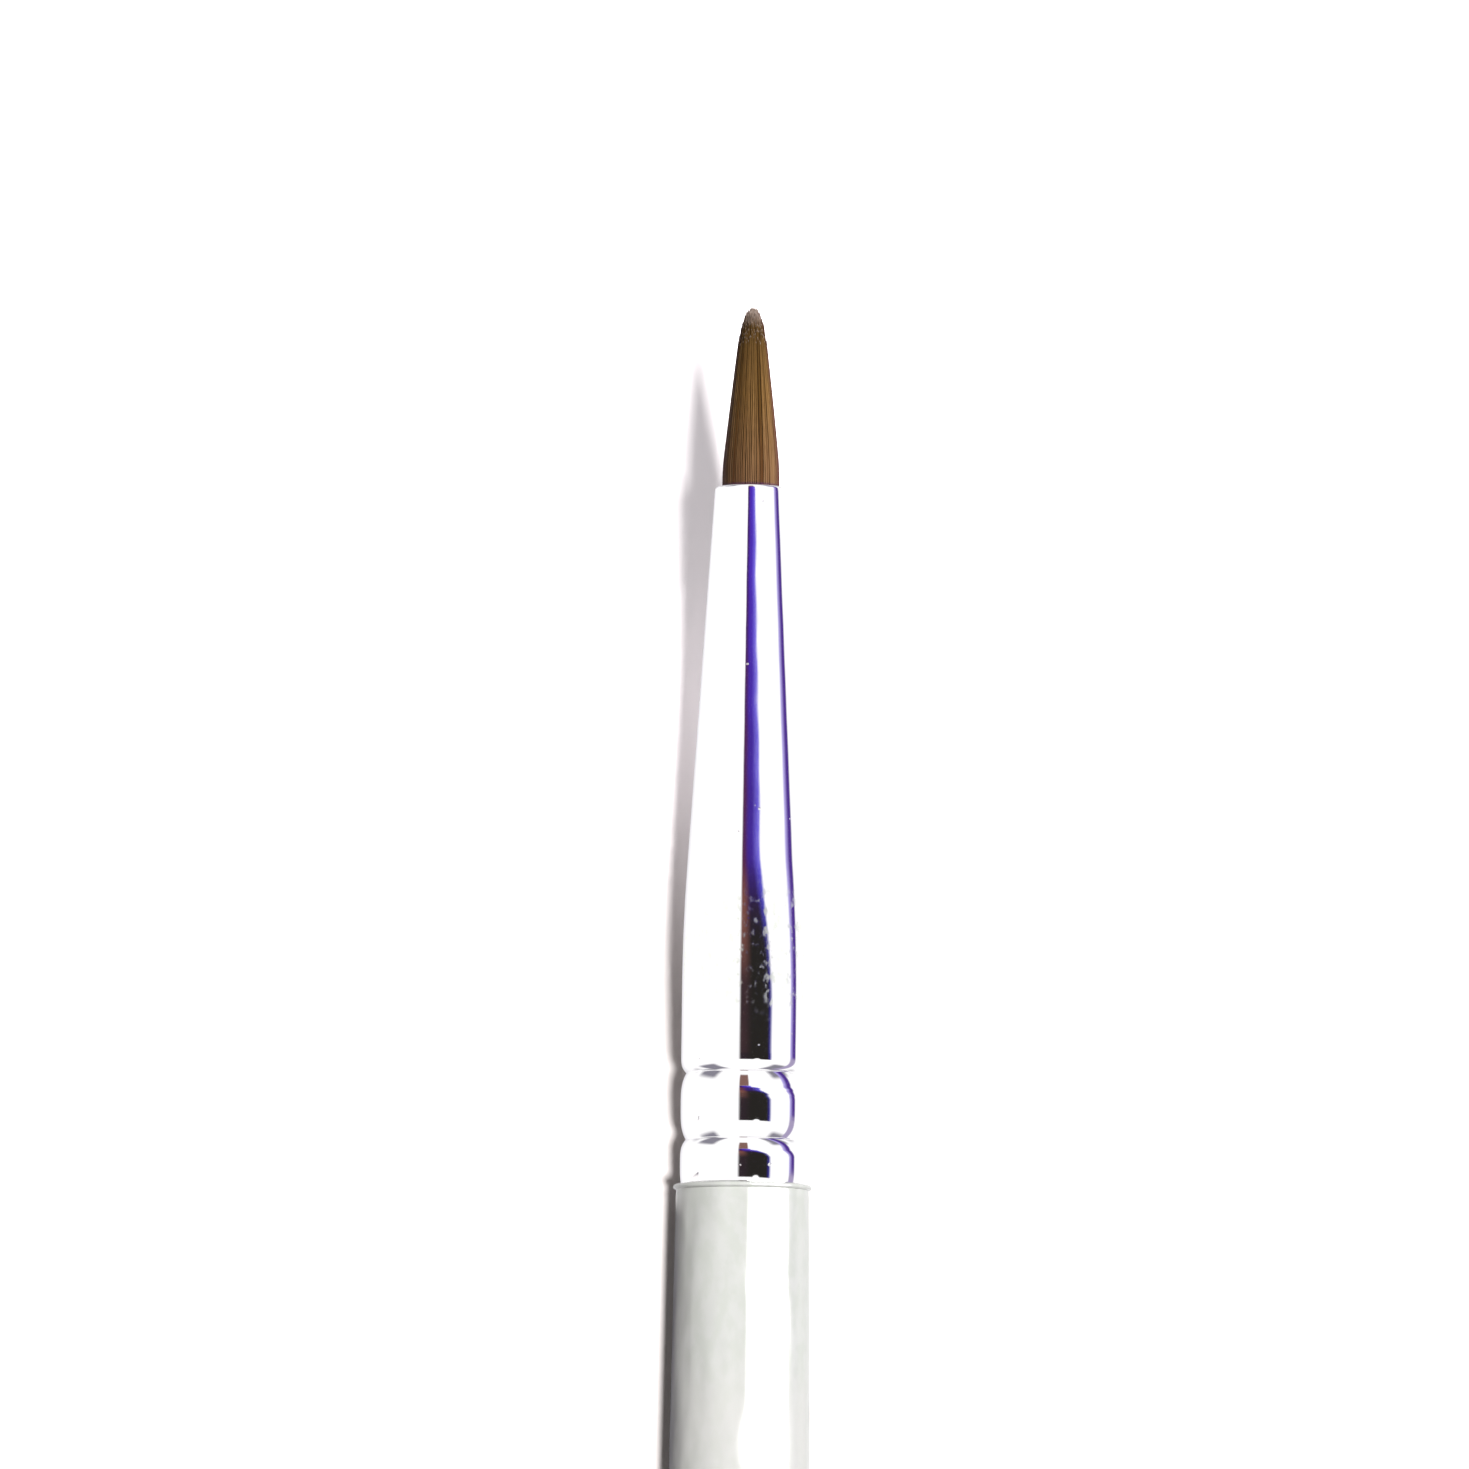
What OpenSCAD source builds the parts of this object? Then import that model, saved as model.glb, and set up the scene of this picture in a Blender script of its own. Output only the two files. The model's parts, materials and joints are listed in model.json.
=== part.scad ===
// A fine detail brush for painting small models.
// The brush's axis lies along X with the hair tip at +X, and +Z is up.
// The origin is on the axis, in the middle of the ferrule's straight run.

/* [Whole brush] */
// Length from the hair tip to the end of the handle
brush_l = 171; // [150:1:200]
// Clearance between touching pieces
gap = 0.01; // [0.005:0.005:0.02]

/* [Tuft] */
// Length of hair outside the ferrule
hair_out = 6.84; // [6.4:0.01:8]
// Length of hair held inside the ferrule
hair_in = 9; // [7:0.1:10]
// Diameter of the tuft at the ferrule's mouth
tuft_d = 2.22; // [1.9:0.01:2.24]
// Diameter of the tuft where its tip starts to round off, as a share of tuft_d
tip_share = 0.46; // [0.35:0.01:0.6]
// Length of the rounded tip
tip_l = 1.3; // [1:0.05:1.5]
// Diameter of the tuft at the roots of the hair
roots_d = 2.4; // [2.3:0.01:2.6]
// Distance from the mouth to the tuft's first bending point
base_bend = 0.95; // [0.8:0.01:1.1]
// Distance from the mouth to the tuft's second bending point
middle_bend = 2.85; // [2.6:0.01:3.1]
// Distance from the mouth to the tuft's third bending point
point_bend = 4.6; // [4.4:0.01:4.8]
// Clearance between one section's ball end and the next one's dish
ball_gap = 0.05; // [0.03:0.01:0.07]

/* [Ferrule] */
// Length of the ferrule
ferrule_l = 27; // [25:0.1:30]
// Outer diameter of its straight run
ferrule_d = 4.84; // [4.7:0.01:5]
// Outer diameter at its mouth
mouth_d = 2.76; // [2.76:0.01:2.9]
// Thickness of the metal
wall = 0.25; // [0.2:0.01:0.25]
// Length of the straight run in front of the crimps
straight_l = 2.7; // [2:0.1:3.5]
// Length of the smooth turn from the straight run into the taper
turn_l = 4.6; // [3:0.1:6]
// Distance of the crimp near the handle from the ferrule's end
near_crimp = 1.72; // [1.5:0.01:1.9]
// Distance of the crimp near the hair from the ferrule's end
far_crimp = 4.28; // [4:0.01:4.5]
// Depth of the crimps
crimp_depth = 0.21; // [0.1:0.01:0.25]
// How far the ferrule's end is rolled in
end_depth = 0.05; // [0.02:0.01:0.08]
// Length of the rounded shoulder between a crimp and the straight run
shoulder_l = 0.7; // [0.5:0.05:1]

/* [Handle] */
// Diameter of the painted handle at the ferrule
neck_d = 5.1; // [5.05:0.01:5.4]
// Diameter of the handle's belly
belly_d = 5.6; // [5.5:0.01:7]
// Distance of the belly from the ferrule
belly_at = 30; // [20:1:40]
// Diameter near the handle's end
tail_d = 2.9; // [2.4:0.1:4]
// Length of the rounded end
end_l = 2; // [1:0.1:3]
// Length of the tenon that sits in the ferrule
tenon_l = 8.2; // [7:0.1:8.4]
// Height of the lacquer's raised edge at the ferrule
lip_h = 0.11; // [0.03:0.01:0.15]
// Length of the lacquer's raised edge
lip_l = 0.2; // [0.15:0.01:0.4]

/* [Coats, glue and thread] */
// Thickness of the primer
primer_t = 0.08; // [0.05:0.01:0.1]
// Thickness of the gloss lacquer
lacquer_t = 0.12; // [0.08:0.01:0.15]
// Thickness of the glue around the tenon
glue_t = 0.07; // [0.05:0.01:0.1]
// Thickness of the binding thread
thread_d = 0.14; // [0.1:0.01:0.16]
// Turns of thread around the hair
thread_turns = 5; // [3:1:7]
// Distance from the roots of the hair to the middle of the binding
binding_at = 1.2; // [1:0.1:1.5]
// Length of the hair that the resin holds
resin_l = 3; // [2.5:0.1:4]
// Thickness of the resin behind the roots
resin_back = 1; // [0.5:0.1:1.5]

/* [Hidden] */
$fn = 96;

ferrule_r = ferrule_d / 2;
mouth_r = mouth_d / 2;
tuft_r = tuft_d / 2;
roots_r = roots_d / 2;
handle_l = brush_l - hair_out - ferrule_l;
coats_t = primer_t + lacquer_t;

// Places along X, from the handle's end to the hair tip
shoulder_x = -far_crimp - shoulder_l - straight_l / 2;
mouth_x = shoulder_x + ferrule_l;
tip_x = mouth_x + hair_out;
roots_x = mouth_x - hair_in;
tail_x = tip_x - brush_l;
base_x = mouth_x + base_bend;

// The thread's own radius, which leaves a gap between its turns
thread_r = (thread_d - gap) / 2;
// The waist that the thread pulls into the hair
binding_x = roots_x + binding_at;
binding_l = thread_turns * thread_d;
waist_r = roots_r - thread_d / 2;

// How quickly the metal rises out of a crimp: a higher number is steeper
crimp_power = 3.6;
// How quickly the hair narrows along its straight part: 1 is a plain cone
hair_power = 1.15;
// How far a cut runs past the face that it opens
cut_past = 1;
// Points in each curved stretch of a profile
curve_points = 18;
// Sides of the thread's section and of each of its turns
thread_sides = 6;
thread_steps = 20;

// Numbers from a to b in n equal steps
function steps(a, b, n) = [for (i = [0:n]) a + (b - a) * i / n];

// Numbers from a to b, closer together near both ends
function eased(a, b) = [for (t = steps(0, 180, curve_points)) a + (b - a) * (1 - cos(t)) / 2];

// Points on an arc around [0, x]: from the axis behind x round to the plane at x
function ball(x, r) = [for (t = steps(0, 90, curve_points)) [r * sin(t), x - r * cos(t)]];

function reversed(list) = [for (i = [len(list) - 1:-1:0]) list[i]];

// How far the metal is pressed in: t is 0 where it is pressed by depth and 1 where it is untouched
function pressed(t, depth = crimp_depth) = depth * pow(1 - t, crimp_power);

// Outer radius of the ferrule at distance s from its end: the rolled end, two barrels,
// a shoulder, the straight run, a smooth turn and the taper
function ferrule_outer(s) =
    let (straight_end = far_crimp + shoulder_l + straight_l,
         slope = (ferrule_r - mouth_r) / (ferrule_l - straight_end - turn_l / 2),
         d = s - straight_end)
    s < near_crimp / 2 ? ferrule_r - pressed(2 * s / near_crimp, end_depth)
    : s < near_crimp ? ferrule_r - pressed(2 * (1 - s / near_crimp))
    : s < far_crimp ? ferrule_r - pressed(1 - abs(2 * (s - near_crimp) / (far_crimp - near_crimp) - 1))
    : s < far_crimp + shoulder_l ? ferrule_r - pressed((s - far_crimp) / shoulder_l)
    : d <= 0 ? ferrule_r
    : d < turn_l ? ferrule_r - slope * d * d / (2 * turn_l)
    : ferrule_r - slope * (d - turn_l / 2);

// Distances from the ferrule's end at which its profile has points
ferrule_stations = concat(
    eased(0, near_crimp),
    [for (s = eased(near_crimp, far_crimp)) if (s > near_crimp) s],
    [for (s = eased(far_crimp, far_crimp + shoulder_l)) if (s > far_crimp) s],
    steps(far_crimp + shoulder_l + straight_l, far_crimp + shoulder_l + straight_l + turn_l, curve_points),
    [ferrule_l]);

// The ferrule's outer profile between two distances from its end, moved inwards by depth
function ferrule_profile(depth, from, to) = [
    for (s = concat([from], [for (f = ferrule_stations) if (f > from && f < to) f], [to]))
        [ferrule_outer(s) - depth, shoulder_x + s]];

// Radius of the tenon's neck, where it comes out of the handle through the coats
neck_r = ferrule_outer(0) - wall - glue_t;

// Radius of the free hair at distance d from the mouth: a taper with a rounded tip
function hair_r(d) =
    let (round_at = hair_out - tip_l,
         taper = tuft_r * (1 - (1 - tip_share) * pow(max(d, 0) / round_at, hair_power)),
         u = min(1, max(0, (d - round_at) / tip_l)))
    taper * sqrt(1 - u * u);

// The free hair's outer profile between two distances from the mouth
function hair_profile(from, to) = [for (d = steps(from, to, curve_points)) [hair_r(d), mouth_x + d]];

// Outer radius of the painted handle at distance d behind the ferrule
function handle_r(d) =
    let (t = (d - belly_at) / (handle_l - end_l - belly_at))
    d < belly_at ? (belly_d - (belly_d - neck_d) * pow(1 - d / belly_at, 2)) / 2
    : (belly_d - (belly_d - tail_d) * t * t * (3 - 2 * t)) / 2;

// The handle's profile from its shoulder to its end, moved inwards by depth
function handle_profile(depth) = concat(
    [for (d = steps(0, belly_at, curve_points)) [handle_r(d) - depth, shoulder_x - max(d, depth)]],
    [for (d = steps(belly_at, handle_l - end_l, 2 * curve_points)) if (d > belly_at)
        [handle_r(d) - depth, shoulder_x - d]],
    [for (a = steps(0, 90, curve_points)) if (a > 0)
        [(tail_d / 2 - depth) * cos(a), tail_x + end_l - (end_l - depth) * sin(a)]]);

// The lacquer's raised edge, a bead from the shoulder to where the handle is plain again
lip_profile = [for (a = steps(0, 180, curve_points))
    [handle_r(lip_l) + lip_h * sin(a), shoulder_x - lip_l * (1 - cos(a)) / 2]];

// A solid turned around X from a profile of [radius, x] points
module turned(profile) {
    rotate([0, 90, 0])
        rotate_extrude()
            polygon(profile);
}

// A coat on the handle, between two profiles, open where the tenon comes through
module coat(outer, inner) {
    opening_r = neck_r + gap;
    turned(concat([[opening_r, outer[0][1]]], outer, reversed(inner), [[opening_r, inner[0][1]]]));
}

// Cuts the dish that the next section's ball end turns in
module dished(bend) {
    difference() {
        children();
        translate([mouth_x + bend, 0, 0])
            sphere(r = hair_r(bend) + ball_gap);
    }
}

// A section of the free hair: a ball end, the hair and, unless it is the point, a dish
module tuft_section(bend, end) {
    turned(concat(ball(mouth_x + bend, hair_r(bend)),
                  [for (p = hair_profile(bend, end)) if (p[1] > mouth_x + bend) p],
                  [[0, mouth_x + end]]));
}

// Turned wood: the handle under its coats, with a tenon that the crimps grip
module handle_core() {
    depth = coats_t + gap;
    tenon = ferrule_profile(wall + glue_t, 0, tenon_l);
    color("burlywood")
        turned(concat([[0, shoulder_x + tenon_l]], reversed(tenon), [[neck_r, shoulder_x - depth]],
                      handle_profile(depth)));
}

module primer_coat() {
    color("gainsboro")
        coat(handle_profile(lacquer_t), handle_profile(coats_t));
}

module gloss_lacquer() {
    outer = concat(lip_profile, [for (p = handle_profile(0)) if (p[1] < shoulder_x - lip_l) p]);
    color("lightgray")
        coat(outer, handle_profile(lacquer_t - gap));
}

// A sleeve of glue between the tenon and the ferrule
module handle_glue() {
    outside = ferrule_profile(wall + gap, gap, tenon_l);
    inside = ferrule_profile(wall + glue_t - gap, gap, tenon_l);
    color("khaki")
        turned(concat(outside, reversed(inside)));
}

// A seamless tapered tube with two crimps and a rounded mouth
module ferrule() {
    round_r = wall / 2;
    rim_s = ferrule_l - round_r;
    outside = ferrule_profile(0, 0, rim_s);
    inside = ferrule_profile(wall, 0, rim_s);
    rim = [for (a = steps(0, 180, curve_points)) if (a > 0 && a < 180)
        [ferrule_outer(rim_s) - round_r * (1 - cos(a)), shoulder_x + rim_s + round_r * sin(a)]];
    color("silver")
        turned(concat(outside, rim, reversed(inside)));
}

// Resin that fills the ferrule around the roots of the hair
module root_resin() {
    color("goldenrod")
        difference() {
            turned(concat([[0, roots_x - resin_back]],
                          [for (s = [roots_x - resin_back, roots_x + resin_l])
                              [ferrule_outer(s - shoulder_x) - wall - gap, s]],
                          [[0, roots_x + resin_l]]));
            translate([roots_x - gap, 0, 0])
                rotate([0, 90, 0])
                    cylinder(r = roots_r + thread_d / 2 + gap, h = resin_l + cut_past);
        }
}

// One thread wound around the hair, as a tube along a helix
module binding_thread() {
    count = thread_turns * thread_steps;
    coil_r = waist_r + thread_d / 2 + gap;
    points = [for (i = [0:count])
        let (turn = 360 * i / thread_steps, x = binding_x + binding_l * (i / count - 0.5))
        for (k = [0:thread_sides - 1])
            let (a = 360 * k / thread_sides, r = coil_r + thread_r * cos(a))
            [x + thread_r * sin(a), r * cos(turn), r * sin(turn)]];
    sides = [for (i = [0:count - 1], k = [0:thread_sides - 1])
        let (next = (k + 1) % thread_sides, a = i * thread_sides)
        [a + k, a + next, a + thread_sides + next, a + thread_sides + k]];
    ends = [[for (k = [thread_sides - 1:-1:0]) k],
            [for (k = [0:thread_sides - 1]) count * thread_sides + k]];
    color("white")
        polyhedron(points, concat(sides, ends));
}

// The hair inside the ferrule, with the thread's waist, up to the first bending point
module tuft_root() {
    waist = binding_l / 2 + thread_d;
    color("saddlebrown")
        dished(base_bend)
            turned(concat(
                [[0, roots_x], [roots_r, roots_x]],
                [[roots_r, binding_x - waist - thread_d], [waist_r, binding_x - waist]],
                [[waist_r, binding_x + waist], [roots_r, binding_x + waist + thread_d]],
                hair_profile(0, base_bend),
                [[0, base_x]]));
}

module tuft_base() {
    color("sienna")
        dished(middle_bend)
            tuft_section(base_bend, middle_bend);
}

module tuft_middle() {
    color("peru")
        dished(point_bend)
            tuft_section(middle_bend, point_bend);
}

module tuft_point() {
    color("tan")
        tuft_section(point_bend, hair_out);
}

handle_core();
primer_coat();
gloss_lacquer();
handle_glue();
ferrule();
root_resin();
binding_thread();
tuft_root();
tuft_base();
tuft_middle();
tuft_point();
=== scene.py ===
import json
import math

import bmesh
import bpy
import numpy as np
from mathutils import Matrix, Vector

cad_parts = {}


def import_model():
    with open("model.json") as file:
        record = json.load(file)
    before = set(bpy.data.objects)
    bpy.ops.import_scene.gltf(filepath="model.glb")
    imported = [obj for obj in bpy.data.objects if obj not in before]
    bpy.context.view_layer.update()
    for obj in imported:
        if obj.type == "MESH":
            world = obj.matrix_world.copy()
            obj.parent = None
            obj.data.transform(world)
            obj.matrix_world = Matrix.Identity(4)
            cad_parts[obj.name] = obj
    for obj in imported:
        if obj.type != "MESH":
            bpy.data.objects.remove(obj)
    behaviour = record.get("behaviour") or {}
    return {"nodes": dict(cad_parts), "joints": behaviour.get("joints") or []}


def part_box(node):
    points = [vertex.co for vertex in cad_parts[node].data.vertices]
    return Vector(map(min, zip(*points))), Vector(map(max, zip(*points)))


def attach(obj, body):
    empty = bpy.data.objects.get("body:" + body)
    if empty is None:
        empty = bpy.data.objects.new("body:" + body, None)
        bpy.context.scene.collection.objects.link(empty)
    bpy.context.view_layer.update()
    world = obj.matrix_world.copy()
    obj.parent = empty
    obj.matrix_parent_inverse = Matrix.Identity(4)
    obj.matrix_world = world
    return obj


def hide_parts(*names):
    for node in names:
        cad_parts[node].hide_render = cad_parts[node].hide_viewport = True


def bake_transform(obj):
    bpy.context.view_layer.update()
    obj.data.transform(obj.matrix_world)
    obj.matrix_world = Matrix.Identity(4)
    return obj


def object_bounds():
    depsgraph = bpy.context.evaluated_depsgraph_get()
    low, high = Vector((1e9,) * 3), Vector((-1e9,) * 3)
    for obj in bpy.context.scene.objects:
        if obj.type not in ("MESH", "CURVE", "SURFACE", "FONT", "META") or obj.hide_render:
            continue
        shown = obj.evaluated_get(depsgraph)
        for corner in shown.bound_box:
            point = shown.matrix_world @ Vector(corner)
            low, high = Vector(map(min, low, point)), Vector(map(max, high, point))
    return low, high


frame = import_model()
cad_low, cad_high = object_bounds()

# A fine detail brush that lies along X with its hair tip at +X. Sizes are in metres, and the
# angles of lamps, camera and room are in degrees. The metal and the lacquer are turned from the
# frame's own profiles. The tuft is a bundle of single hairs in three lengths.

MM = 0.001

# Places along X, from the frame
shoulder_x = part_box("ferrule")[0].x
mouth_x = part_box("ferrule")[1].x
roots_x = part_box("tuft_root")[0].x
tip_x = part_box("tuft_point")[1].x
bend_x = [joint["pos_m"][0] for joint in frame["joints"]]

# Metal and lacquer
SIDES = 160                # flats around a turned piece
METAL_STEP = 0.09 * MM     # longest step along the metal's outer skin
LACQUER_STEP = 0.6 * MM    # longest step along the lacquer's outer skin
LIP_STEP = 0.02 * MM       # longest step along the lacquer near its raised edge
LIP_REACH = 0.8 * MM       # how far from the shoulder the lacquer needs those short steps
SAME_PLACE = 0.002 * MM    # two stations closer than this are one
SAME_POINT = SAME_PLACE / 100    # two corners closer than this are one
FACES_OUT = 0.02           # how much a face must face outwards to count as the outer skin
RIPPLES = 9                # waves that together make a skin uneven

# Hair
HAIR_RINGS = 16            # rings of hairs around the one in the middle
RING_TURN = 0.4            # how far each ring is turned from the one inside it, in hairs
HAIR_SIDES = 6             # flats around a hair
HAIR_STEP = 0.25 * MM      # longest step along a hair outside the metal
ROUND_TIP = 0.19           # the share of the free hair in which hairs run out
LONGER = 1.028             # length of the free hair against the frame's
SPREAD = 0.05 * MM         # how far the hairs stand outside the frame's taper
SPREAD_REACH = 0.8 * MM    # how far from the mouth they have spread that much
SLOPE_OVER = 0.8 * MM      # the taper's slope is taken over this length behind the rounded tip
WAVES = 1.5                # waves in the free length of a hair
WAVE_SIZE = 0.006 * MM     # the largest wave of a hair
FREE_SOON = 8              # a hair waves freely from 1/8 of its free length onwards
UNEVEN = 0.13 * MM         # how unevenly the outermost hairs end
HAIR_POINT = 0.4 * MM      # the length over which a hair runs out
BLUNT = 0.4                # a hair's thickness at its end, against the rest of it
PAST_THREAD = 0.3 * MM     # held hair keeps the CAD's stations up to this far past its thread
BEHIND_MOUTH = 0.1 * MM    # where the stations of the free hair begin, inside the metal
SEAM = 0.01 * MM           # a hair's last ring before its end, which keeps its sides evenly lit

hair_tip_x = mouth_x + LONGER * (tip_x - mouth_x)

rng = np.random.default_rng(7)


# ---------------------------------------------------------------- shader nodes

def opaque(value):
    """A colour of three parts with an alpha of 1. Anything else stays as it is."""
    if isinstance(value, tuple) and len(value) == 3:
        return (*value, 1.0)
    return value


class Shader:
    """Builds one node tree. Most methods add nodes and return an output socket."""

    def __init__(self, owner):
        owner.use_nodes = True
        self.tree = owner.node_tree
        self.tree.nodes.clear()

    def add(self, kind, inputs=None, output=0, **settings):
        node = self.tree.nodes.new(kind)
        for name, value in settings.items():
            setattr(node, name, value)
        for key, value in (inputs or {}).items():
            if isinstance(value, bpy.types.NodeSocket):
                self.tree.links.new(value, node.inputs[key])
            elif value is not None:
                node.inputs[key].default_value = value
        return node.outputs[output]

    def math(self, operation, a, b=None):
        return self.add("ShaderNodeMath", {0: a, 1: b}, operation=operation)

    def minus(self, a, b):
        return self.math("SUBTRACT", a, b)

    def share(self, value, start, end):
        """0 where value is start and 1 where it is end. It runs on in a line outside them."""
        return self.math("DIVIDE", self.minus(value, start), self.minus(end, start))

    def times(self, *values):
        product = values[0]
        for value in values[1:]:
            product = self.math("MULTIPLY", product, value)
        return product

    def ramp(self, value, zero_at, one_at, low=0.0, high=1.0):
        """Goes smoothly from low where value is zero_at to high where it is one_at."""
        inputs = {"Value": value, 1: zero_at, 2: one_at, 3: low, 4: high}
        return self.add("ShaderNodeMapRange", inputs, interpolation_type="SMOOTHSTEP")

    def slope(self, value, start, end, low, high):
        """Goes straight from low where value is start to high where it is end."""
        return self.add("ShaderNodeMapRange", {"Value": value, 1: start, 2: end, 3: low, 4: high})

    def stops(self, value, low, high, colours):
        """A row of colours, evenly spaced from where value is low to where it is high."""
        share = self.slope(value, low, high, 0, 1)
        node = self.tree.nodes.new("ShaderNodeValToRGB")
        self.tree.links.new(share, node.inputs[0])
        elements = node.color_ramp.elements
        while len(elements) < len(colours):
            elements.new(0.5)
        for i, colour in enumerate(colours):
            elements[i].position = i / (len(colours) - 1)
            elements[i].color = opaque(colour)
        return node.outputs[0]

    def band(self, value, low, high, soft):
        """1 where value is between low and high, with soft edges, and 0 elsewhere."""
        rise = self.ramp(self.minus(value, low), -soft, soft)
        fall = self.ramp(self.minus(value, high), soft, -soft)
        return self.times(rise, fall)

    def mix(self, share, a, b):
        """Colour a where share is 0 and colour b where it is 1."""
        inputs = {0: share, 6: opaque(a), 7: opaque(b)}
        return self.add("ShaderNodeMix", inputs, output=2, data_type="RGBA")

    def place(self, stretch=(1, 1, 1)):
        """The shaded point in metres, divided by stretch."""
        point = self.add("ShaderNodeTexCoord", output="Object")
        return self.add("ShaderNodeVectorMath", {0: point, 1: stretch}, operation="DIVIDE")

    def noise(self, size, stretch=(1, 1, 1), detail=2.0):
        """Soft noise from 0 to 1 with features of about size metres, longer along stretch."""
        inputs = {"Vector": self.place(stretch), "Scale": 1 / size, "Detail": detail}
        return self.add("ShaderNodeTexNoise", inputs)

    def split(self, vector):
        node = self.tree.nodes.new("ShaderNodeSeparateXYZ")
        self.tree.links.new(vector, node.inputs[0])
        return node.outputs

    def bump(self, height, distance):
        inputs = {"Height": height, "Distance": distance, "Strength": 1.0}
        return self.add("ShaderNodeBump", inputs)

    def surface(self, **inputs):
        """Ends the tree with one principled surface."""
        named = {name.replace("_", " "): opaque(value) for name, value in inputs.items()}
        shader = self.add("ShaderNodeBsdfPrincipled", named)
        self.add_output("ShaderNodeOutputMaterial", shader)

    def add_output(self, kind, shader):
        output = self.tree.nodes.new(kind)
        self.tree.links.new(shader, output.inputs["Surface"])


def new_material(name):
    material = bpy.data.materials.new(name)
    return material, Shader(material)


# ---------------------------------------------------------------- materials

def bright_plate():
    """Bright plating with faint lines along the metal, a few pits, and dull specks at the turn."""
    material, s = new_material("bright_plate")
    x = s.split(s.place())[0]
    at_turn = s.band(x, 0.2 * MM, 4.8 * MM, 1.0 * MM)
    blotches = s.ramp(s.noise(0.24 * MM, (1.4, 1, 1), detail=4), 0.50, 0.70)
    specks = s.times(blotches, s.math("ADD", s.times(at_turn, 0.8), 0.02))
    pits = s.ramp(s.noise(0.25 * MM, (1, 1.5, 1.5), detail=1), 0.76, 0.80)
    drawn = s.noise(0.05 * MM, (60, 1, 1), detail=2)
    waves = s.noise(1.6 * MM, (2, 1, 1), detail=1)
    height = s.math("ADD", s.times(drawn, 0.04), s.times(waves, 0.8))
    height = s.minus(height, s.times(pits, 0.5))
    colour = s.mix(specks, (0.93, 0.92, 0.93), (0.88, 0.91, 0.82))
    rough = s.math("ADD", s.ramp(drawn, 0.3, 0.8, 0.04, 0.07), s.times(specks, 0.24))
    rough = s.math("ADD", rough, s.times(pits, 0.3))
    s.surface(Base_Color=colour, Metallic=1.0, Roughness=rough,
              Normal=s.bump(height, 0.004 * MM))
    return material


def grey_lacquer():
    """Pale warm grey gloss over primer, with faint mottling and a slightly uneven skin."""
    material, s = new_material("grey_lacquer")
    mottle = s.noise(0.5 * MM, (1.6, 1, 1), detail=4)
    patches = s.noise(4 * MM, (2, 1, 1), detail=1)
    colour = s.mix(s.ramp(mottle, 0.35, 0.65), (0.56, 0.575, 0.53), (0.60, 0.605, 0.575))
    colour = s.mix(s.ramp(patches, 0.4, 0.62, 0, 0.5), colour, (0.615, 0.60, 0.575))
    peel = s.noise(1.3 * MM, (2.5, 1, 1), detail=1)
    rough = s.ramp(patches, 0.3, 0.7, 0.14, 0.20)
    s.surface(Base_Color=colour, Roughness=rough, Specular_IOR_Level=0.35, Coat_Weight=0.3,
              Coat_Roughness=0.04, Normal=s.bump(peel, 0.15 * MM))
    return material


def sable_hair():
    """Brown sable, each hair in its own tone and pale at the tips, with painted shade: dark violet
    right at the metal, and dark red where the bundle turns away from the eye."""
    material, s = new_material("sable_hair")
    tone = s.add("ShaderNodeAttribute", output="Fac", attribute_name="tone")
    along = s.add("ShaderNodeAttribute", output="Fac", attribute_name="along")
    to_tip = s.add("ShaderNodeAttribute", output="Fac", attribute_name="to_tip")
    dark = s.stops(along, 0, 1, [
        (0.085, 0.030, 0.008), (0.085, 0.039, 0.006), (0.045, 0.022, 0.003)])
    light = s.stops(along, 0, 1, [
        (0.300, 0.172, 0.085), (0.275, 0.152, 0.052), (0.150, 0.084, 0.022)])
    colour = s.mix(tone, dark, light)
    colour = s.mix(s.ramp(along, 0.88, 0.99, 0, 0.75), colour, (0.52, 0.40, 0.34))
    colour = s.mix(s.ramp(to_tip, 0.10, 0.0, 0, 0.6), colour, (0.52, 0.42, 0.36))
    # Painted shade: dark violet on the hair right at the metal.
    colour = s.mix(s.ramp(along, 0.022, 0.0, 0, 0.7), colour, (0.05, 0.015, 0.10))
    streaks = s.noise(0.05 * MM, (40, 1, 1), detail=2)
    colour = s.mix(s.ramp(streaks, 0.40, 0.70, 0, 0.35), colour, (0.050, 0.022, 0.008))
    outward = s.add("ShaderNodeAttribute", output="Vector", attribute_name="outward")
    eye = s.add("ShaderNodeNewGeometry", output="Incoming")
    inputs = {0: outward, 1: eye}
    facing = s.add("ShaderNodeVectorMath", inputs, output="Value", operation="DOT_PRODUCT")
    # Painted shade: the hair darkens to dark red where the bundle turns away from the eye.
    painted_rim_shade = s.ramp(s.math("ABSOLUTE", facing), 0.6, 0.15, 0, 0.85)
    colour = s.mix(painted_rim_shade, colour, (0.060, 0.012, 0.020))
    s.surface(Base_Color=colour, Roughness=0.5, Specular_IOR_Level=0.12)
    return material


def bare_wood():
    """Pale straight-grained wood."""
    material, s = new_material("bare_wood")
    rings = s.noise(0.35 * MM, (18, 1, 1), detail=4)
    pores = s.ramp(s.noise(0.09 * MM, (12, 1, 1), detail=2), 0.62, 0.72)
    colour = s.mix(rings, (0.45, 0.27, 0.13), (0.68, 0.48, 0.28))
    colour = s.mix(pores, colour, (0.25, 0.14, 0.07))
    s.surface(Base_Color=colour, Roughness=0.7,
              Normal=s.bump(s.minus(rings, pores), 0.02 * MM))
    return material


def primer():
    """Dull primer with fine soft mottling."""
    material, s = new_material("primer")
    size = 0.15 * MM
    grain = s.noise(size, detail=4)
    colour = s.mix(grain, (0.62, 0.61, 0.58), (0.74, 0.73, 0.70))
    s.surface(Base_Color=colour, Roughness=0.8, Normal=s.bump(grain, 0.3 * size))
    return material


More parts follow.
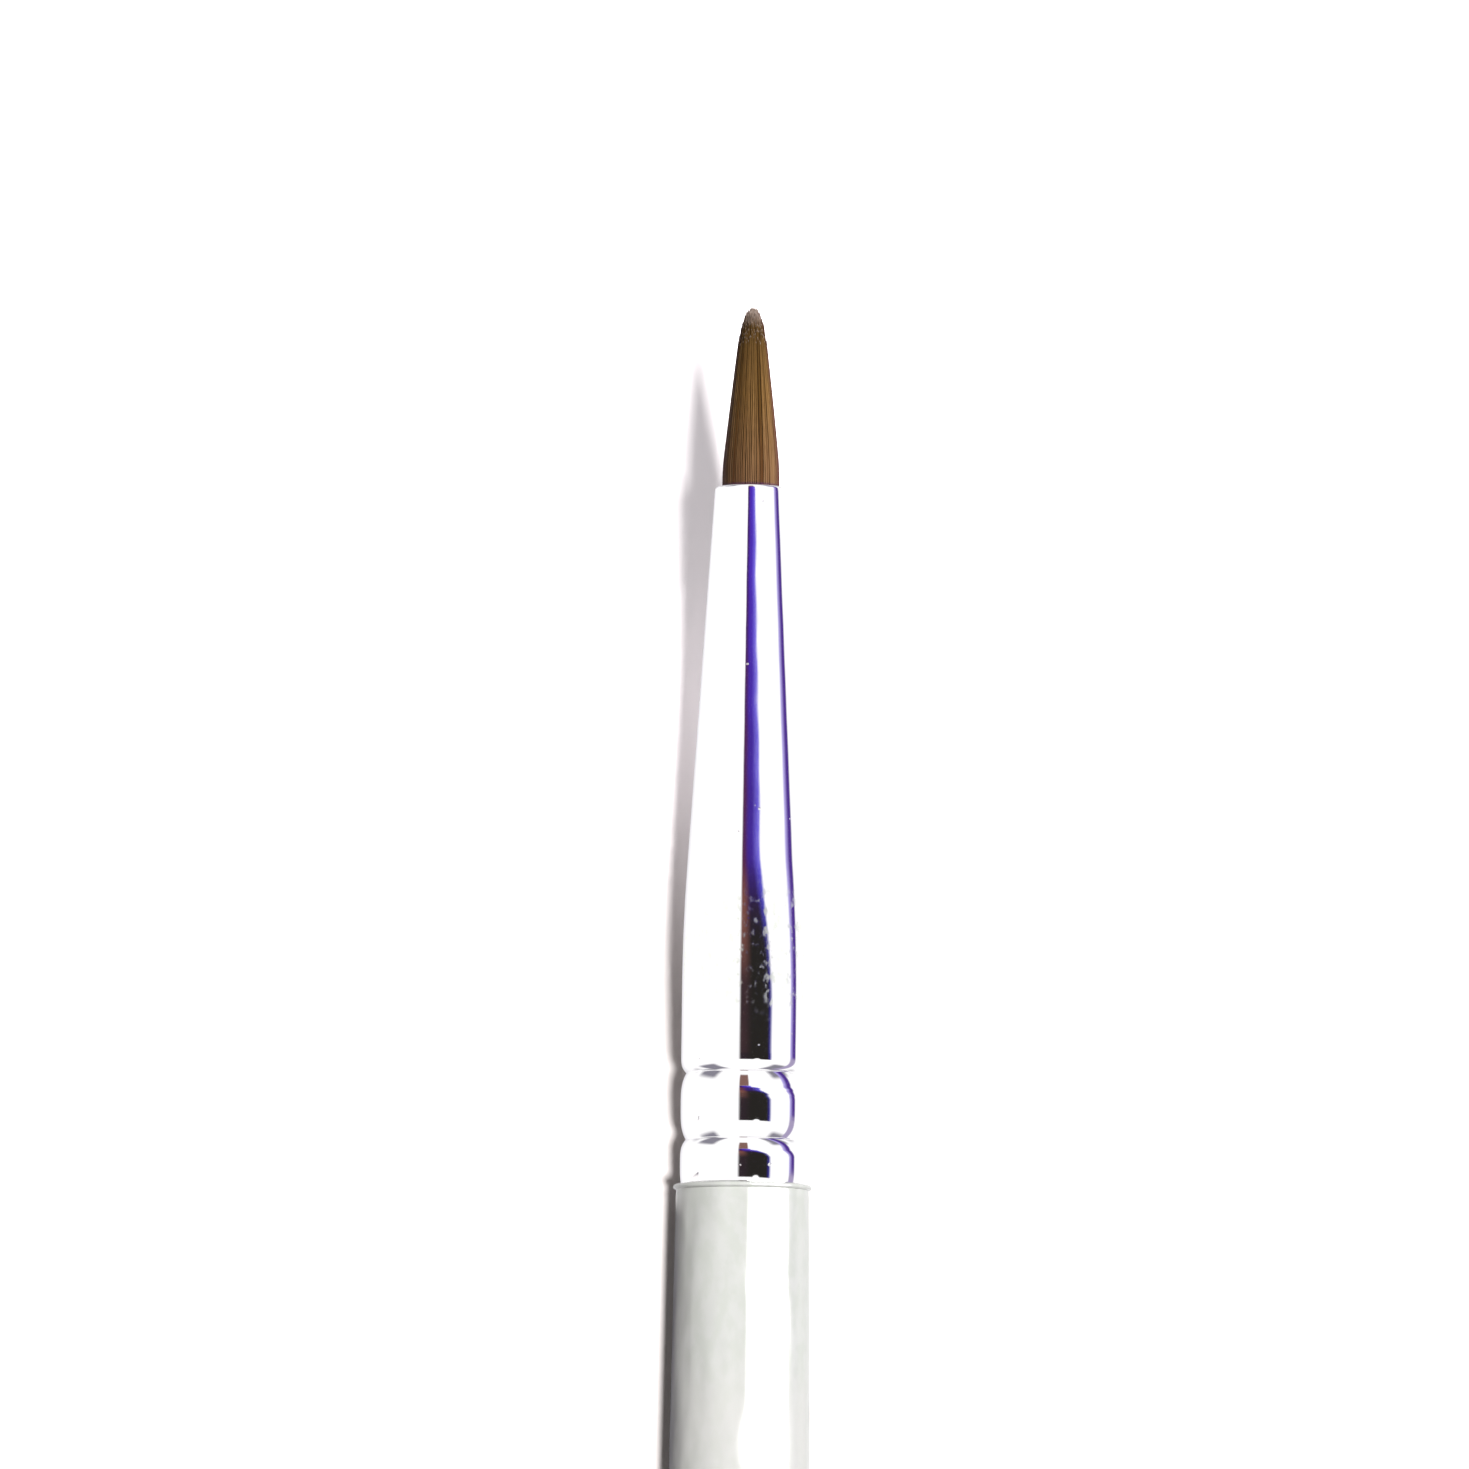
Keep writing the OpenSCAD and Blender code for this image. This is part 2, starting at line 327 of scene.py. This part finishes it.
def cured(name, dark, light, roughness):
    """Hard, half-clear glue or resin, with swirls and small bubbles."""
    material, s = new_material(name)
    swirl = s.noise(0.6 * MM, detail=3)
    bubbles = s.ramp(s.noise(0.12 * MM, detail=0), 0.70, 0.78)
    s.surface(Base_Color=s.mix(swirl, dark, light), Roughness=roughness, Coat_Weight=0.5,
              Transmission_Weight=0.25, Normal=s.bump(bubbles, 0.02 * MM))
    return material


def twisted_thread():
    """White cotton thread with a slanting twist."""
    material, s = new_material("thread")
    inputs = {"Vector": s.place(), "Scale": 1 / (0.05 * MM), "Distortion": 1.5}
    twist = s.add("ShaderNodeTexWave", inputs, wave_type="BANDS", bands_direction="DIAGONAL")
    colour = s.mix(twist, (0.55, 0.52, 0.46), (0.86, 0.84, 0.79))
    s.surface(Base_Color=colour, Roughness=0.85, Sheen_Weight=0.3,
              Normal=s.bump(twist, 0.01 * MM))
    return material


def paper():
    """The pale floor, with a trace of paper grain and painted shade, a darker tone near the
    handle.
    Mirror rays pass through it to the room, except that the handle's left side mirrors a painted
    dark strip there. Mirror rays that come off a dull surface do meet it."""
    material, s = new_material("paper")
    grain = s.noise(0.8 * MM, detail=3)
    x, y, _ = s.split(s.place())
    # Painted shade: the floor is darker near the handle.
    shade_near_handle = s.ramp(x, 16 * MM, 0.0)
    colour = s.mix(grain, (1.15, 1.09, 1.10), (1.18, 1.12, 1.13))
    colour = s.mix(shade_near_handle, colour, (0.47, 0.44, 0.43))
    paths = s.tree.nodes.new("ShaderNodeLightPath")
    depth = s.math("MINIMUM", paths.outputs["Diffuse Depth"], 1.0)
    in_mirror = s.times(paths.outputs["Is Glossy Ray"], s.minus(1.0, depth))
    # Painted dark reflection: mirror rays going from the handle's left side to the floor beside it
    # meet a dark colour.
    left_of_handle = s.times(s.ramp(x, shoulder_x, shoulder_x - 1 * MM), s.ramp(y, 0, 1 * MM))
    ray_x = s.split(s.add("ShaderNodeNewGeometry", output="Incoming"))[0]
    painted_dark_reflection = s.times(left_of_handle, s.ramp(ray_x, 0.12, 0.0))
    colour = s.mix(s.times(in_mirror, painted_dark_reflection), colour, (0.02, 0.015, 0.03))
    unseen = s.times(in_mirror, s.minus(1.0, painted_dark_reflection))
    sheet = s.add("ShaderNodeBsdfDiffuse", {"Color": colour})
    nothing = s.add("ShaderNodeBsdfTransparent")
    shader = s.add("ShaderNodeMixShader", {0: unseen, 1: sheet, 2: nothing})
    s.add_output("ShaderNodeOutputMaterial", shader)
    return material


# ---------------------------------------------------------------- shapes

def outline(node, side=1):
    """A node's outer (side 1) or inner (side -1) profile: stations along X and their radii.
    Where the profile steps straight up or down, there are two stations in one place."""
    mesh = frame["nodes"][node].data
    found = set()
    for face in mesh.polygons:
        radial = Vector((0, face.center.y, face.center.z)).normalized()
        if face.normal.dot(radial) * side > FACES_OUT:
            for index in face.vertices:
                point = mesh.vertices[index].co
                found.add((point.x, math.hypot(point.y, point.z)))
    groups = []
    for x, r in sorted(found):
        if groups and x - groups[-1][0] <= SAME_PLACE:
            groups[-1][1].append(r)
        else:
            groups.append((x, [r]))
    path = []
    for x, radii in groups:
        near, far = min(radii), max(radii)
        if path and abs(far - path[-1][1]) < abs(near - path[-1][1]):
            near, far = far, near
        path.append((x, near))
        if abs(far - near) > SAME_PLACE:
            path.append((x, far))
    x, r = zip(*path)
    return np.array(x), np.array(r)


def refined(x, r, step, from_x=-math.inf):
    """The same profile with no step longer than the given one in front of from_x."""
    pieces = []
    for a, b in zip(x[:-1], x[1:]):
        parts = max(1, math.ceil((b - a) / step)) if b > from_x else 1
        pieces.append(np.linspace(a, b, parts, endpoint=False))
    fine = np.concatenate(pieces + [x[-1:]])
    return fine, np.interp(fine, x, r)


def ripples(height, shortest, longest, lobes):
    """A seeded waviness of a turned skin, as a function of place along X and of angle."""
    lengths = rng.uniform(shortest, longest, RIPPLES)
    around = rng.integers(0, lobes + 1, RIPPLES)
    phases = rng.uniform(0, 2 * math.pi, RIPPLES)

    def offset(x, angle):
        waves = [np.sin(2 * math.pi * x / length + n * angle + phase)
                 for length, n, phase in zip(lengths, around, phases)]
        return height * sum(waves) / math.sqrt(RIPPLES)

    return offset


def make_mesh(name, points, faces, material):
    mesh = bpy.data.meshes.new(name)
    mesh.from_pydata(points, [], faces)
    mesh.validate()
    mesh.materials.append(material)
    mesh.polygons.foreach_set("use_smooth", [len(face.vertices) == 4 for face in mesh.polygons])
    piece = bpy.data.objects.new(name, mesh)
    bpy.context.scene.collection.objects.link(piece)
    return piece


def turned(name, x, r, material):
    """Turns a path of rings around X. r holds one radius a ring and side. A path whose ends
    are on the axis makes a closed skin; any other path is closed from its end to its start."""
    rings = len(x)
    angle = 2 * math.pi * np.arange(SIDES) / SIDES
    points = np.stack([np.repeat(x[:, None], SIDES, 1), r * np.cos(angle), r * np.sin(angle)], 2)
    closes = r[0].max() > SAME_PLACE or r[-1].max() > SAME_PLACE
    faces = []
    for i in range(rings if closes else rings - 1):
        a, b = i * SIDES, (i + 1) % rings * SIDES
        for k in range(SIDES):
            n = (k + 1) % SIDES
            faces.append((a + k, b + k, b + n, a + n))
    piece = make_mesh(name, points.reshape(-1, 3).tolist(), faces, material)
    tidy = bmesh.new()
    tidy.from_mesh(piece.data)
    bmesh.ops.remove_doubles(tidy, verts=tidy.verts, dist=SAME_POINT)
    bmesh.ops.recalc_face_normals(tidy, faces=tidy.faces)
    tidy.to_mesh(piece.data)
    tidy.free()
    return piece


def wavy(x, r, wave):
    """One radius a ring and side, with the waviness added."""
    angle = 2 * math.pi * np.arange(SIDES) / SIDES
    return r[:, None] + wave(x[:, None], angle[None, :])


def ferrule():
    """The drawn and plated metal, with its two crimps and its rounded mouth."""
    outer_x, outer_r = refined(*outline("ferrule"), METAL_STEP)
    inner_x, inner_r = outline("ferrule", -1)
    wave = ripples(0.0012 * MM, 2.5 * MM, 9 * MM, 3)
    plain = np.repeat(inner_r[::-1, None], SIDES, 1)
    x = np.concatenate([outer_x, inner_x[::-1]])
    r = np.concatenate([wavy(outer_x, outer_r, wave), plain])
    piece = turned("plated_ferrule", x, r, bright_plate())
    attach(piece, "brush")
    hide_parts("ferrule")


def lacquer():
    """The gloss coat of the handle, with its raised edge at the ferrule."""
    outer_x, outer_r = refined(*outline("gloss_lacquer"), LACQUER_STEP)
    outer_x, outer_r = refined(outer_x, outer_r, LIP_STEP, shoulder_x - LIP_REACH)
    inner_x, inner_r = outline("gloss_lacquer", -1)
    wave = ripples(0.003 * MM, 4 * MM, 16 * MM, 3)
    outer = wavy(outer_x, outer_r, wave)
    outer[outer_r < SAME_PLACE] = 0
    plain = np.repeat(inner_r[::-1, None], SIDES, 1)
    x = np.concatenate([outer_x, inner_x[::-1]])
    r = np.concatenate([outer, plain])
    piece = turned("lacquer_coat", x, r, grey_lacquer())
    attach(piece, "brush")
    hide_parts("gloss_lacquer")
    return piece


# ---------------------------------------------------------------- hair

def tuft_outline():
    """The tuft's radius along X, from the four CAD sections without their ball ends."""
    nodes = ("tuft_root", "tuft_base", "tuft_middle", "tuft_point")
    places = [roots_x, *bend_x, tip_x]
    xs, rs = [], []
    for node, start, end in zip(nodes, places[:-1], places[1:]):
        x, r = outline(node)
        keep = (x >= start) & (x < end)
        xs.append(x[keep])
        rs.append(r[keep])
    return np.concatenate(xs), np.concatenate(rs)


class Tuft:
    """A bundle of hairs: where each one runs, how thick it is and how it is toned."""

    def __init__(self):
        self.x, self.r = tuft_outline()
        self.x = self.x + (LONGER - 1) * np.maximum(0, self.x - mouth_x)
        self.r = self.r + SPREAD * np.clip((self.x - mouth_x) / SPREAD_REACH, 0, 1)
        self.round_x = hair_tip_x - ROUND_TIP * (hair_tip_x - mouth_x)
        in_ring = np.maximum(1, 6 * np.arange(HAIR_RINGS + 1))
        ring = np.repeat(np.arange(HAIR_RINGS + 1), in_ring)
        place = np.concatenate([np.arange(hairs) for hairs in in_ring])
        step = 2 * math.pi / in_ring[ring]
        self.count = len(ring)
        self.share = np.minimum(1, ring / HAIR_RINGS + rng.normal(0, 0.008, self.count))
        self.angle = (place + RING_TURN * ring + rng.normal(0, 0.12, self.count)) * step
        self.drift = rng.normal(0, 0.04, self.count)
        self.girth = rng.uniform(0.85, 1.1, self.count)
        self.wave_size = rng.uniform(0, WAVE_SIZE, self.count)
        self.wave_turn = rng.uniform(0, 2 * math.pi, (2, self.count))
        self.end = self.ends()
        self.tone = self.tones()

    def taper(self, x):
        """The bundle's radius if it ran on to the tip without being rounded off."""
        slope_from = self.round_x - SLOPE_OVER
        r1, r2 = np.interp([slope_from, self.round_x], self.x, self.r)
        beyond = r2 + (r2 - r1) / (self.round_x - slope_from) * (x - self.round_x)
        return np.where(x < self.round_x, np.interp(x, self.x, self.r), beyond)

    def ends(self):
        """Where each hair ends: where it would leave the rounded tip, give or take a little."""
        places = np.linspace(self.round_x, hair_tip_x, 200)
        allowed = np.interp(places, self.x, self.r) / self.taper(places)
        allowed[-1] = 0
        ends = np.interp(-self.share, -allowed, places)
        uneven = rng.normal(0, UNEVEN, self.count) * self.share
        return np.minimum(ends + uneven, hair_tip_x)

    def tones(self):
        """0 for the darkest hair and 1 for the palest, in loose locks."""
        locks = sum(np.sin(n * self.angle + rng.uniform(0, 6)) for n in (3, 5, 8, 13)) / 4
        return np.clip(0.5 + 0.27 * locks + rng.normal(0, 0.14, self.count), 0, 1)

    def thickness(self, x, hair):
        """A hair's radius: neighbours touch, and the end of the hair runs out to a point."""
        touching = self.taper(x) / (2 * HAIR_RINGS + 1)
        left = np.clip((self.end[hair] - x) / HAIR_POINT, 0, 1)
        return self.girth[hair] * touching * (BLUNT + (1 - BLUNT) * np.sqrt(left))

    def centre(self, x, hair):
        """Where the hair runs: across (Y) and up (Z) at each place along X."""
        along = (x - mouth_x) / (hair_tip_x - mouth_x)
        angle = self.angle[hair] + self.drift[hair] * along
        reach = self.share[hair] * (self.taper(x) - self.thickness(x, hair))
        loose = np.clip(FREE_SOON * along, 0, 1)
        turns = 2 * math.pi * WAVES * along + self.wave_turn[:, hair, None]
        sway = self.wave_size[hair] * loose * np.sin(turns)
        return reach * np.cos(angle) + sway[0], reach * np.sin(angle) + sway[1]


def stations(start, end):
    """Evenly spaced places from start to end, with one more close to each of the two."""
    even = np.linspace(start, end, max(2, math.ceil((end - start) / HAIR_STEP) + 1))
    return np.concatenate([even[:1], even[:1] + SEAM, even[1:-1], even[-1:] - SEAM, even[-1:]])


def hair_piece(name, bundle, places, material):
    """The length of every hair between the first and the last place, each hair a closed tube."""
    points, faces, tone, along, to_tip = [], [], [], [], []
    turn = 2 * math.pi * np.arange(HAIR_SIDES) / HAIR_SIDES
    for hair in range(bundle.count):
        end = bundle.end[hair]
        if end <= places[0]:
            continue
        x = np.unique(np.append(places[places < end], min(end, places[-1])))
        y, z = bundle.centre(x, hair)
        r = bundle.thickness(x, hair)
        ring = np.stack([np.repeat(x[:, None], HAIR_SIDES, 1),
                         y[:, None] + r[:, None] * np.cos(turn),
                         z[:, None] + r[:, None] * np.sin(turn)], 2)
        first = len(points)
        points.extend(ring.reshape(-1, 3).tolist())
        for i in range(len(x) - 1):
            a = first + i * HAIR_SIDES
            b = a + HAIR_SIDES
            for k in range(HAIR_SIDES):
                n = (k + 1) % HAIR_SIDES
                faces.append((a + k, a + n, b + n, b + k))
        faces.append(tuple(range(first + HAIR_SIDES - 1, first - 1, -1)))
        last = first + (len(x) - 1) * HAIR_SIDES
        faces.append(tuple(range(last, last + HAIR_SIDES)))
        tone.extend([bundle.tone[hair]] * len(x) * HAIR_SIDES)
        along.extend(np.repeat((x - mouth_x) / (hair_tip_x - mouth_x), HAIR_SIDES))
        to_tip.extend(np.repeat((end - x) / MM, HAIR_SIDES))
    piece = make_mesh(name, points, faces, material)
    for attribute, values in (("tone", tone), ("along", along), ("to_tip", to_tip)):
        layer = piece.data.attributes.new(attribute, "FLOAT", "POINT")
        layer.data.foreach_set("value", np.array(values, np.float32))
    outward = np.array(points) * (0, 1, 1)
    outward /= np.maximum(SAME_PLACE, np.linalg.norm(outward, axis=1, keepdims=True))
    layer = piece.data.attributes.new("outward", "FLOAT_VECTOR", "POINT")
    layer.data.foreach_set("vector", outward.ravel())
    return piece


def tuft():
    """The hair in three lengths, cut halfway between the joints."""
    bundle = Tuft()
    material = sable_hair()
    first_cut = (bend_x[0] + bend_x[1]) / 2
    second_cut = (bend_x[1] + bend_x[2]) / 2
    held = bundle.x[bundle.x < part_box("binding_thread")[1].x + PAST_THREAD]
    base = np.concatenate([held, stations(mouth_x - BEHIND_MOUTH, first_cut)])
    middle = stations(first_cut, second_cut)
    point = stations(second_cut, hair_tip_x)
    lengths = [
        ("tuft_hair_base", base, ("brush", "hair_base"), ("tuft_root", "tuft_base")),
        ("tuft_hair_middle", middle, ("hair_base", "hair_middle"), ("tuft_middle",)),
        ("tuft_hair_point", point, ("hair_middle", "hair_point"), ("tuft_point",))]
    pieces = []
    for (name, places, bodies, nodes), pivot in zip(lengths, bend_x):
        piece = hair_piece(name, bundle, places, material)
        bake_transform(piece)
        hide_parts(*nodes)
        pieces.append(piece)
    return pieces


def paint(node, material):
    """Gives a carried-over CAD node its material."""
    piece = frame["nodes"][node]
    piece.data.materials.clear()
    piece.data.materials.append(material)


def inner_pieces():
    """The hidden CAD nodes, in their own shapes."""
    paint("handle_core", bare_wood())
    paint("primer_coat", primer())
    paint("handle_glue", cured("glue", (0.55, 0.42, 0.18), (0.74, 0.62, 0.34), 0.35))
    paint("root_resin", cured("resin", (0.30, 0.13, 0.03), (0.52, 0.27, 0.08), 0.25))
    paint("binding_thread", twisted_thread())


# ---------------------------------------------------------------- studio

def floor():
    """A pale floor that touches the handle, falls away under the ferrule, falls more steeply
    under the tuft and runs nearly level past it. It throws no light back on dull things."""
    falls = [(-4 * MM, 0.27), (15 * MM, 0.42), (26 * MM, -0.62)]  # place, and change of slope
    ease = 3 * MM
    reach = 4.0
    curved = np.linspace(falls[0][0] - ease, falls[-1][0] + ease, 120)
    x = np.concatenate([[-reach], curved, [reach]])
    z = np.full(len(x), cad_low.z)
    for start, change in falls:
        past = np.clip(x - start + ease, 0, 2 * ease)
        z -= change * (past ** 2 / (4 * ease) + np.maximum(0, x - start - ease))
    points = [(a, side, b) for a, b in zip(x, z) for side in (-reach, reach)]
    faces = [(2 * i, 2 * i + 2, 2 * i + 3, 2 * i + 1) for i in range(len(x) - 1)]
    piece = make_mesh("floor", points, faces, paper())
    piece.visible_diffuse = False
    return piece


def towards(lateral, forward):
    """The direction that is lateral degrees from straight up towards -Y, and forward
    degrees from there towards the hair tip."""
    a, b = math.radians(lateral), math.radians(forward)
    return Vector((math.sin(b), -math.sin(a) * math.cos(b), math.cos(a) * math.cos(b)))


def sun(name, lateral, forward, strength, spread):
    light = bpy.data.lights.new(name, "SUN")
    light.energy = strength
    light.angle = math.radians(spread)
    lamp = bpy.data.objects.new(name, light)
    lamp.rotation_mode = "QUATERNION"
    lamp.rotation_quaternion = towards(lateral, forward).to_track_quat("Z", "Y")
    bpy.context.scene.collection.objects.link(lamp)
    return lamp


def limit(lamp, objects, state="INCLUDE"):
    """Makes a lamp light only these objects, or with EXCLUDE all but them."""
    group = bpy.data.collections.new(lamp.name)
    lamp.light_linking.receiver_collection = group
    for thing in objects:
        group.objects.link(thing)
    for item in group.collection_objects:
        item.light_linking.link_state = state


def lamps(ground, lacquered, hairs):
    """Suns, each linked to what it lights: a soft key for the brush without its hair, a weak
    fill from the left for the lacquer, a strong one for the shadow on the floor, two from the
    right for the hair, and a broad gloss, the only one that is mirrored, for the lacquer."""
    key = sun("key", lateral=20, forward=15.8, strength=2.7, spread=14)
    fill = sun("fill", lateral=-45, forward=0, strength=1.0, spread=40)
    floor_key = sun("floor_key", lateral=8, forward=-7.5, strength=8.4, spread=6.5)
    hair_key = sun("hair_key", lateral=32, forward=15.8, strength=2.7, spread=14)
    hair_side = sun("hair_side", lateral=64, forward=4, strength=2.0, spread=28)
    gloss = sun("gloss", lateral=47, forward=8, strength=26, spread=78)
    for lamp in (key, fill, floor_key, hair_key, hair_side):
        lamp.visible_glossy = False
    gloss.visible_diffuse = False
    limit(key, [ground, *hairs], "EXCLUDE")
    limit(fill, [lacquered])
    limit(floor_key, [ground])
    limit(hair_key, hairs)
    limit(hair_side, hairs)
    limit(gloss, [lacquered])


def mirrored(s, lateral, forward):
    """What bright metal mirrors, by direction in degrees: white all round, the dark shape of
    whoever looks down on the brush, a brown patch past it and a violet line low on the right."""
    left_edge = -8.7
    right_edge = s.minus(s.slope(forward, 4.3, 12.7, 51, 25), s.slope(forward, 12.7, 14.5, 0, 12))
    across = s.share(lateral, left_edge, right_edge)
    left = s.stops(forward, 4, 14, [
        (0.032, 0.022, 0.028), (0.12, 0.055, 0.05), (0.20, 0.08, 0.065),
        (0.20, 0.075, 0.06), (0.10, 0.024, 0.07), (0.06, 0.02, 0.16)])
    middle = s.stops(forward, 7, 14, [
        (0.022, 0.020, 0.018), (0.030, 0.018, 0.045), (0.045, 0.02, 0.20), (0.08, 0.032, 0.50)])
    right = s.stops(forward, 5, 13, [
        (0.045, 0.030, 0.38), (0.06, 0.05, 0.42), (0.10, 0.08, 0.70), (0.22, 0.17, 0.90)])
    colour = s.mix(s.ramp(across, 0.10, 0.42), left, middle)
    right_from = s.slope(forward, 6, 12.5, 0.88, 0.55)
    colour = s.mix(s.share(across, right_from, 1.0), colour, right)
    dark = s.times(s.band(across, 0, 1, 0.05), s.band(forward, -9.5, 17, 0.8))
    aside = s.math("POWER", s.minus(lateral, 24), 2)
    ahead = s.math("POWER", s.math("ADD", forward, 14), 2)
    from_lamp = s.math("POWER", s.math("ADD", aside, ahead), 0.5)
    dark = s.times(dark, s.ramp(from_lamp, 7, 9))

    patch = s.times(s.band(lateral, left_edge, 9, 1.5), s.band(forward, 16, 46, 3))
    line_left = s.slope(forward, 4.5, 12.7, 94, 80)
    line_right = s.slope(forward, 4.5, 12.7, 109, 99)
    over = s.share(lateral, line_left, line_right)
    line = s.band(over, 0, 1, 0.15)
    line_colour = s.mix(s.ramp(over, 0.1, 0.6), (0.45, 0.38, 0.82), (0.085, 0.035, 0.28))
    line_colour = s.mix(s.ramp(forward, 4, -4), line_colour, (0.42, 0.36, 0.55))
    either_side = s.math("ABSOLUTE", lateral)
    steep = s.ramp(s.math("ABSOLUTE", forward), 25, 38)
    walls = s.times(steep, s.band(either_side, 62, 108, 8))
    low = s.times(steep, s.ramp(either_side, 112, 135))
    below = s.ramp(lateral, -135, -175)

    seen = s.mix(below, (1.15, 1.15, 1.15), (0.80, 0.79, 0.83))
    seen = s.mix(walls, seen, (0.26, 0.25, 0.30))
    seen = s.mix(low, seen, (0.62, 0.61, 0.64))
    seen = s.mix(line, seen, line_colour)
    seen = s.mix(patch, seen, (0.24, 0.13, 0.11))
    return s.mix(dark, seen, colour)


def world():
    """The camera sees plain white, and mirrors see what mirrored() paints. Dull things are lit
    by a room that is bright on the right, nearly dark on the left and darker below, except
    straight down."""
    scene_world = bpy.data.worlds.new("studio")
    bpy.context.scene.world = scene_world
    scene_world.cycles.sampling_method = "NONE"
    s = Shader(scene_world)
    x, y, z = s.split(s.add("ShaderNodeTexCoord", output="Generated"))
    degrees = 180 / math.pi
    lateral = s.times(s.math("ARCTAN2", s.times(y, -1.0), z), degrees)
    forward = s.times(s.math("ARCSINE", x), degrees)
    room = s.mix(s.ramp(y, -0.6, 0.5), (0.90, 0.90, 0.92), (0.05, 0.045, 0.05))
    room = s.mix(s.ramp(z, 0.1, -0.3, 0, 0.65), room, (0.0, 0.0, 0.0))
    room = s.mix(s.ramp(z, -0.55, -0.85), room, (0.75, 0.74, 0.75))
    paths = s.tree.nodes.new("ShaderNodeLightPath")
    light = s.mix(paths.outputs["Is Camera Ray"], room, (1.0, 1.0, 1.0))
    light = s.mix(paths.outputs["Is Glossy Ray"], light, mirrored(s, lateral, forward))
    s.add_output("ShaderNodeOutputWorld", s.add("ShaderNodeBackground", {"Color": light}))


def camera():
    """Looks down on the ferrule, a little from the handle's side, with the tip upwards."""
    distance = 380 * MM
    sensor = 36  # Blender's lenses and sensors are in millimetres
    field = 56.7 * MM
    tilt, roll = math.radians(6), math.radians(0.68)
    aim = Vector((mouth_x - 9.6 * MM, 0.52 * MM, 0))
    back = Vector((-math.sin(tilt), 0, math.cos(tilt)))
    level_up = Vector((math.cos(tilt), 0, math.sin(tilt)))
    level_right = level_up.cross(back)
    right = level_right * math.cos(roll) + level_up * math.sin(roll)
    up = level_up * math.cos(roll) - level_right * math.sin(roll)
    lens = bpy.data.cameras.new("camera")
    lens.sensor_width = sensor
    lens.lens = sensor * distance / field
    lens.clip_start, lens.clip_end = 0.01, 20
    eye = bpy.data.objects.new("camera", lens)
    turn = Matrix((right, up, back)).transposed().to_4x4()
    eye.matrix_world = Matrix.Translation(aim + back * distance) @ turn
    bpy.context.scene.collection.objects.link(eye)
    bpy.context.scene.camera = eye


def studio(lacquered, hairs):
    lamps(floor(), lacquered, hairs)
    world()
    camera()
    bpy.context.scene.view_settings.view_transform = "Standard"


ferrule()
lacquered = lacquer()
hairs = tuft()
inner_pieces()
studio(lacquered, hairs)
